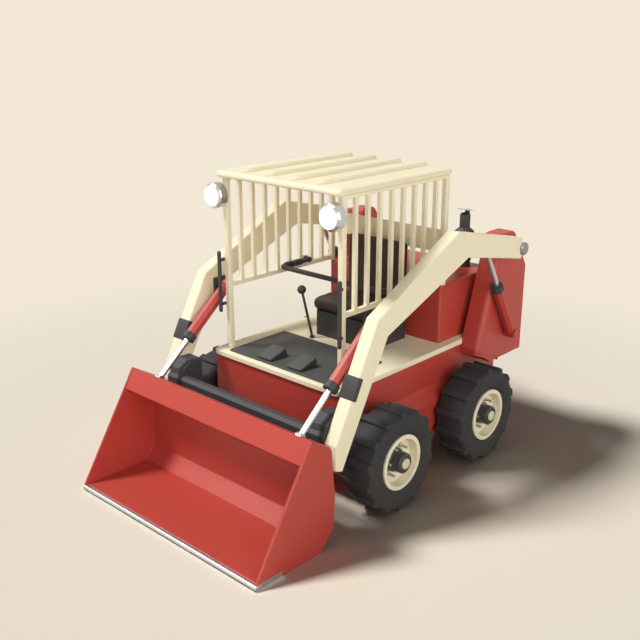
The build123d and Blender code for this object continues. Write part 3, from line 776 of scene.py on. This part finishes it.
class LOADER_OT_cab_fittings(bpy.types.Operator):
    """Rubber grips on the lap bar"""

    bl_idname = "loader.cab_fittings"
    bl_label = "Cab fittings"

    def execute(self, context):
        half = context.scene.loader_sizes.grip_half
        low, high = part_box("lap_bar")
        z = spot("lap_bar_swing").z
        leg = high.x - 0.032
        form = bmesh.new()
        for _, sign in SIDES:
            for start in (0.066, 0.148):
                add_block(form, (sign * leg - half, low.y + start, z - half),
                          (sign * leg + half, low.y + start + 0.074, z + half), 0.007, 3)
        add_piece("lap_bar_grips", form, "lap_bar", "Grip Rubber")
        return {"FINISHED"}


class LOADER_OT_pedal_pads(bpy.types.Operator):
    """Rubber pads on the two pedals"""

    bl_idname = "loader.pedal_pads"
    bl_label = "Pedal pads"

    def execute(self, context):
        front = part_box("controls")[0].y
        mat_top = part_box("floor_mat")[1].z
        toe = mat_top + 0.004
        heel = mat_top + 0.045
        outline = [(front - 0.004, toe), (front - 0.007, toe + 0.012), (front + 0.138, heel + 0.014),
                   (front + 0.146, heel + 0.010), (front + 0.142, heel - 0.002)]
        form = bmesh.new()
        for _, sign in SIDES:
            add_prism(form, outline, sign * PEDAL_X - PEDAL_HALF, sign * PEDAL_X + PEDAL_HALF, 0.003)
        add_piece("pedal_pads", form, "chassis", "Pedal Rubber")
        return {"FINISHED"}


class LOADER_OT_edge_shadow_strip(bpy.types.Operator):
    """Dark strip of painted shadow filling the undercut under the cutting edge"""

    bl_idname = "loader.edge_underside"
    bl_label = "Cutting edge underside"

    def execute(self, context):
        low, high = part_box("cutting_edge")
        form = bmesh.new()
        # painted shadow: a black block fills the undercut, standing in for the shade under the bar
        add_block(form, (low.x + 0.002, low.y + 0.002, 0.0004), (high.x - 0.002, low.y + 0.016, 0.0115),
                  0.001)
        add_piece("edge_underside", form, "bucket", "Black Steel")
        return {"FINISHED"}


class LOADER_OT_seat(bpy.types.Operator):
    """Padded cushion and backrest, swollen by a cloth simulation"""

    bl_idname = "loader.seat"
    bl_label = "Seat"

    def pad(self, name, node, shrink, corner, swell):
        """A rounded block inside the node's box that air pressure crowns."""
        low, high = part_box(node)
        form = bmesh.new()
        add_block(form, low + Vector(shrink[0]), high - Vector(shrink[1]), corner, 5)
        piece = add_piece(name, form, "chassis", "Seat Vinyl", replaces=[node])
        shell = piece.modifiers.new("Shell", "REMESH")
        shell.mode, shell.voxel_size, shell.use_smooth_shade = "VOXEL", 0.007, True
        self.settle(piece)
        rest = [vert.co.copy() for vert in piece.data.vertices]
        cloth = piece.modifiers.new("Cloth", "CLOTH")
        cloth.settings.use_pressure = True
        cloth.settings.uniform_pressure_force = 4.0
        cloth.settings.effector_weights.gravity = 0
        cloth.point_cache.frame_start, cloth.point_cache.frame_end = 1, SWELL_FRAMES
        for frame_number in range(1, SWELL_FRAMES + 1):
            bpy.context.scene.frame_set(frame_number)
        self.settle(piece)
        bpy.context.scene.frame_set(1)
        for vert, home in zip(piece.data.vertices, rest):
            move = vert.co - home
            if move.length > swell:
                move.length = swell
            place = home + move
            vert.co = [min(max(place[i], low[i]), high[i]) for i in range(3)]
        piece.data.shade_smooth()

    def settle(self, piece):
        """Applies the piece's modifiers to its mesh."""
        graph = bpy.context.evaluated_depsgraph_get()
        mesh = bpy.data.meshes.new_from_object(piece.evaluated_get(graph))
        piece.modifiers.clear()
        piece.data = mesh

    def execute(self, context):
        edge = context.scene.loader_sizes.seat_corner
        self.pad("seat_cushion_padded", "seat_cushion", ((0.010, 0.010, 0), (0.010, 0.006, 0.012)),
                 edge, 0.012)
        self.pad("seat_back_padded", "seat_back", ((0.008, 0.010, 0.006), (0.008, 0, 0.008)),
                 edge * 0.9, 0.010)
        return {"FINISHED"}


class LOADER_OT_door_fittings(bpy.types.Operator):
    """Handle and bolts on the rear door"""

    bl_idname = "loader.door_fittings"
    bl_label = "Rear door fittings"

    def execute(self, context):
        low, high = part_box("rear_door")
        face = low.y + 0.034
        x, z, reach = low.x + 0.062, low.z + 0.56, 0.085
        form = bmesh.new()
        add_rod(form, (x, face + 0.036, z - reach), (x, face + 0.036, z + reach), 0.009, 20,
                bevel=0.003)
        for end in (-1, 1):
            level = z + end * (reach - 0.016)
            add_rod(form, (x, face - 0.002, level), (x, face + 0.036, level), 0.0075, 16)
            add_rod(form, (x, face - 0.001, level), (x, face + 0.005, level), 0.016, 24, bevel=0.0015)
        for across in (low.x + 0.035, low.x + 0.43, low.x + 0.86):
            for level in (low.z + 0.035, high.z - 0.035):
                add_bolt(form, (across, face, level), (0, 1, 0), 0.017)
        add_piece("door_handle_and_bolts", form, "rear_door", "Black Steel")
        return {"FINISHED"}


class LOADER_OT_studio(bpy.types.Operator):
    """Floor, backdrop, lights and camera"""

    bl_idname = "loader.studio"
    bl_label = "Studio"

    def floor_material(self, stage):
        material = bpy.data.materials.new("Studio Floor")
        material.use_nodes = True
        tree = material.node_tree
        surface = tree.nodes["Principled BSDF"]
        surface.inputs["Base Color"].default_value = (*stage.floor, 1)
        surface.inputs["Roughness"].default_value = 0.9
        surface.inputs["Specular IOR Level"].default_value = 0.1
        glow = joined(tree, "ShaderNodeEmission", Color=(*stage.backdrop, 1), Strength=1.0)
        place = tree.nodes.new("ShaderNodeTexCoord").outputs["Object"]
        span = joined(tree, "ShaderNodeVectorMath", i0=place)
        span.operation = "LENGTH"
        reach = joined(tree, "ShaderNodeMapRange", Value=span.outputs["Value"],
                       From_Min=FLOOR_BLEND[0], From_Max=FLOOR_BLEND[1])
        reach.interpolation_type = "SMOOTHSTEP"
        seen = tree.nodes.new("ShaderNodeLightPath").outputs["Is Camera Ray"]
        share = maths(tree, "MULTIPLY", reach.outputs[0], seen)
        mix = joined(tree, "ShaderNodeMixShader", i0=share, i1=surface.outputs[0], i2=glow.outputs[0])
        tree.links.new(mix.outputs[0], tree.nodes["Material Output"].inputs["Surface"])
        return material

    def studio_world(self, scene, stage):
        world = bpy.data.worlds.new("Studio World")
        scene.world = world
        world.use_nodes = True
        tree = world.node_tree
        back = tree.nodes["Background"]
        path = tree.nodes.new("ShaderNodeLightPath")
        look = tree.nodes.new("ShaderNodeTexCoord").outputs["Generated"]
        axes = joined(tree, "ShaderNodeSeparateXYZ", Vector=look)
        level = joined(tree, "ShaderNodeMapRange", Value=axes.outputs["Z"], From_Min=0.0,
                       From_Max=0.55, To_Min=stage.horizon, To_Max=stage.zenith)
        shown = maths(tree, "MAXIMUM", path.outputs["Is Camera Ray"], path.outputs["Is Transmission Ray"])
        sides = joined(tree, "ShaderNodeMapRange", Value=axes.outputs["X"], From_Min=-1.0,
                       From_Max=1.0, To_Min=1.0, To_Max=0.75)
        mirror = maths(tree, "MULTIPLY", path.outputs["Is Glossy Ray"], sides.outputs[0])
        show = maths(tree, "MAXIMUM", shown, mirror)
        strength = joined(tree, "ShaderNodeMix", Factor=show, i2=level.outputs[0], i3=1.0)
        hue = tree.nodes.new("ShaderNodeMix")
        hue.data_type = "RGBA"
        tree.links.new(show, hue.inputs[0])
        hue.inputs[6].default_value = (1, 1, 1, 1)
        hue.inputs[7].default_value = (*stage.backdrop, 1)
        tree.links.new(hue.outputs[2], back.inputs["Color"])
        tree.links.new(strength.outputs[0], back.inputs["Strength"])

    def execute(self, context):
        scene, stage = context.scene, context.scene.loader_stage
        form = bmesh.new()
        bmesh.ops.create_grid(form, x_segments=1, y_segments=1, size=60)
        mesh = bpy.data.meshes.new("studio_floor")
        form.to_mesh(mesh)
        form.free()
        ground = bpy.data.objects.new("studio_floor", mesh)
        scene.collection.objects.link(ground)
        mesh.materials.append(self.floor_material(stage))
        spared = bpy.data.collections.new("not_lit_by_fill")
        spared.objects.link(ground)
        spared.collection_objects[0].light_linking.link_state = "EXCLUDE"
        self.studio_world(scene, stage)
        for name, strength, softness, travel in (
                ("key_light", stage.key_strength, stage.key_softness, KEY_TRAVEL),
                ("fill_light", stage.fill_strength, FILL_SOFTNESS, FILL_TRAVEL)):
            light = bpy.data.lights.new(name, "SUN")
            light.energy, light.angle = strength, softness
            lamp = bpy.data.objects.new(name, light)
            lamp.rotation_euler = Vector(travel).to_track_quat("-Z", "Y").to_euler()
            scene.collection.objects.link(lamp)
            if name == "fill_light":
                lamp.light_linking.receiver_collection = spared
        lens = bpy.data.cameras.new("camera")
        lens.lens, lens.sensor_width, lens.clip_end = stage.lens, 36, 200
        camera = bpy.data.objects.new("camera", lens)
        camera.location = stage.camera_place
        camera.rotation_euler = (math.pi / 2 - stage.camera_pitch, 0, stage.camera_azimuth)
        scene.collection.objects.link(camera)
        scene.camera = camera
        scene.view_settings.view_transform = "Standard"
        return {"FINISHED"}


class LOADER_PT_panel(bpy.types.Panel):
    """Sidebar list of the loader's settings and steps"""

    bl_label = "Loader"
    bl_idname = "LOADER_PT_panel"
    bl_space_type = "VIEW_3D"
    bl_region_type = "UI"
    bl_category = "Loader"

    def draw(self, context):
        for holder in ("loader_colours", "loader_sizes", "loader_stage"):
            group = getattr(context.scene, holder)
            box = self.layout.box()
            for name in group.bl_rna.properties.keys():
                if name not in {"rna_type", "name"}:
                    box.prop(group, name)
        for step in STEPS:
            self.layout.operator(step.bl_idname)


STEPS = (LOADER_OT_studio, LOADER_OT_finishes, LOADER_OT_tyres, LOADER_OT_hubs,
         LOADER_OT_arm_fittings, LOADER_OT_cylinder_fittings, LOADER_OT_bucket_welds,
         LOADER_OT_edge_shadow_strip, LOADER_OT_lamps, LOADER_OT_exhaust, LOADER_OT_roof,
         LOADER_OT_cab_fittings, LOADER_OT_pedal_pads, LOADER_OT_seat, LOADER_OT_door_fittings)
CLASSES = (LoaderColours, LoaderSizes, LoaderStage, *STEPS, LOADER_PT_panel)
HOLDERS = {"loader_colours": LoaderColours, "loader_sizes": LoaderSizes, "loader_stage": LoaderStage}


def register():
    for item in CLASSES:
        bpy.utils.register_class(item)
    for name, group in HOLDERS.items():
        setattr(bpy.types.Scene, name, PointerProperty(type=group))


def unregister():
    for name in HOLDERS:
        delattr(bpy.types.Scene, name)
    for item in reversed(CLASSES):
        bpy.utils.unregister_class(item)


def main():
    register()
    for step in STEPS:
        family, action = step.bl_idname.split(".")
        getattr(getattr(bpy.ops, family), action)()


if __name__ == "__main__":
    main()
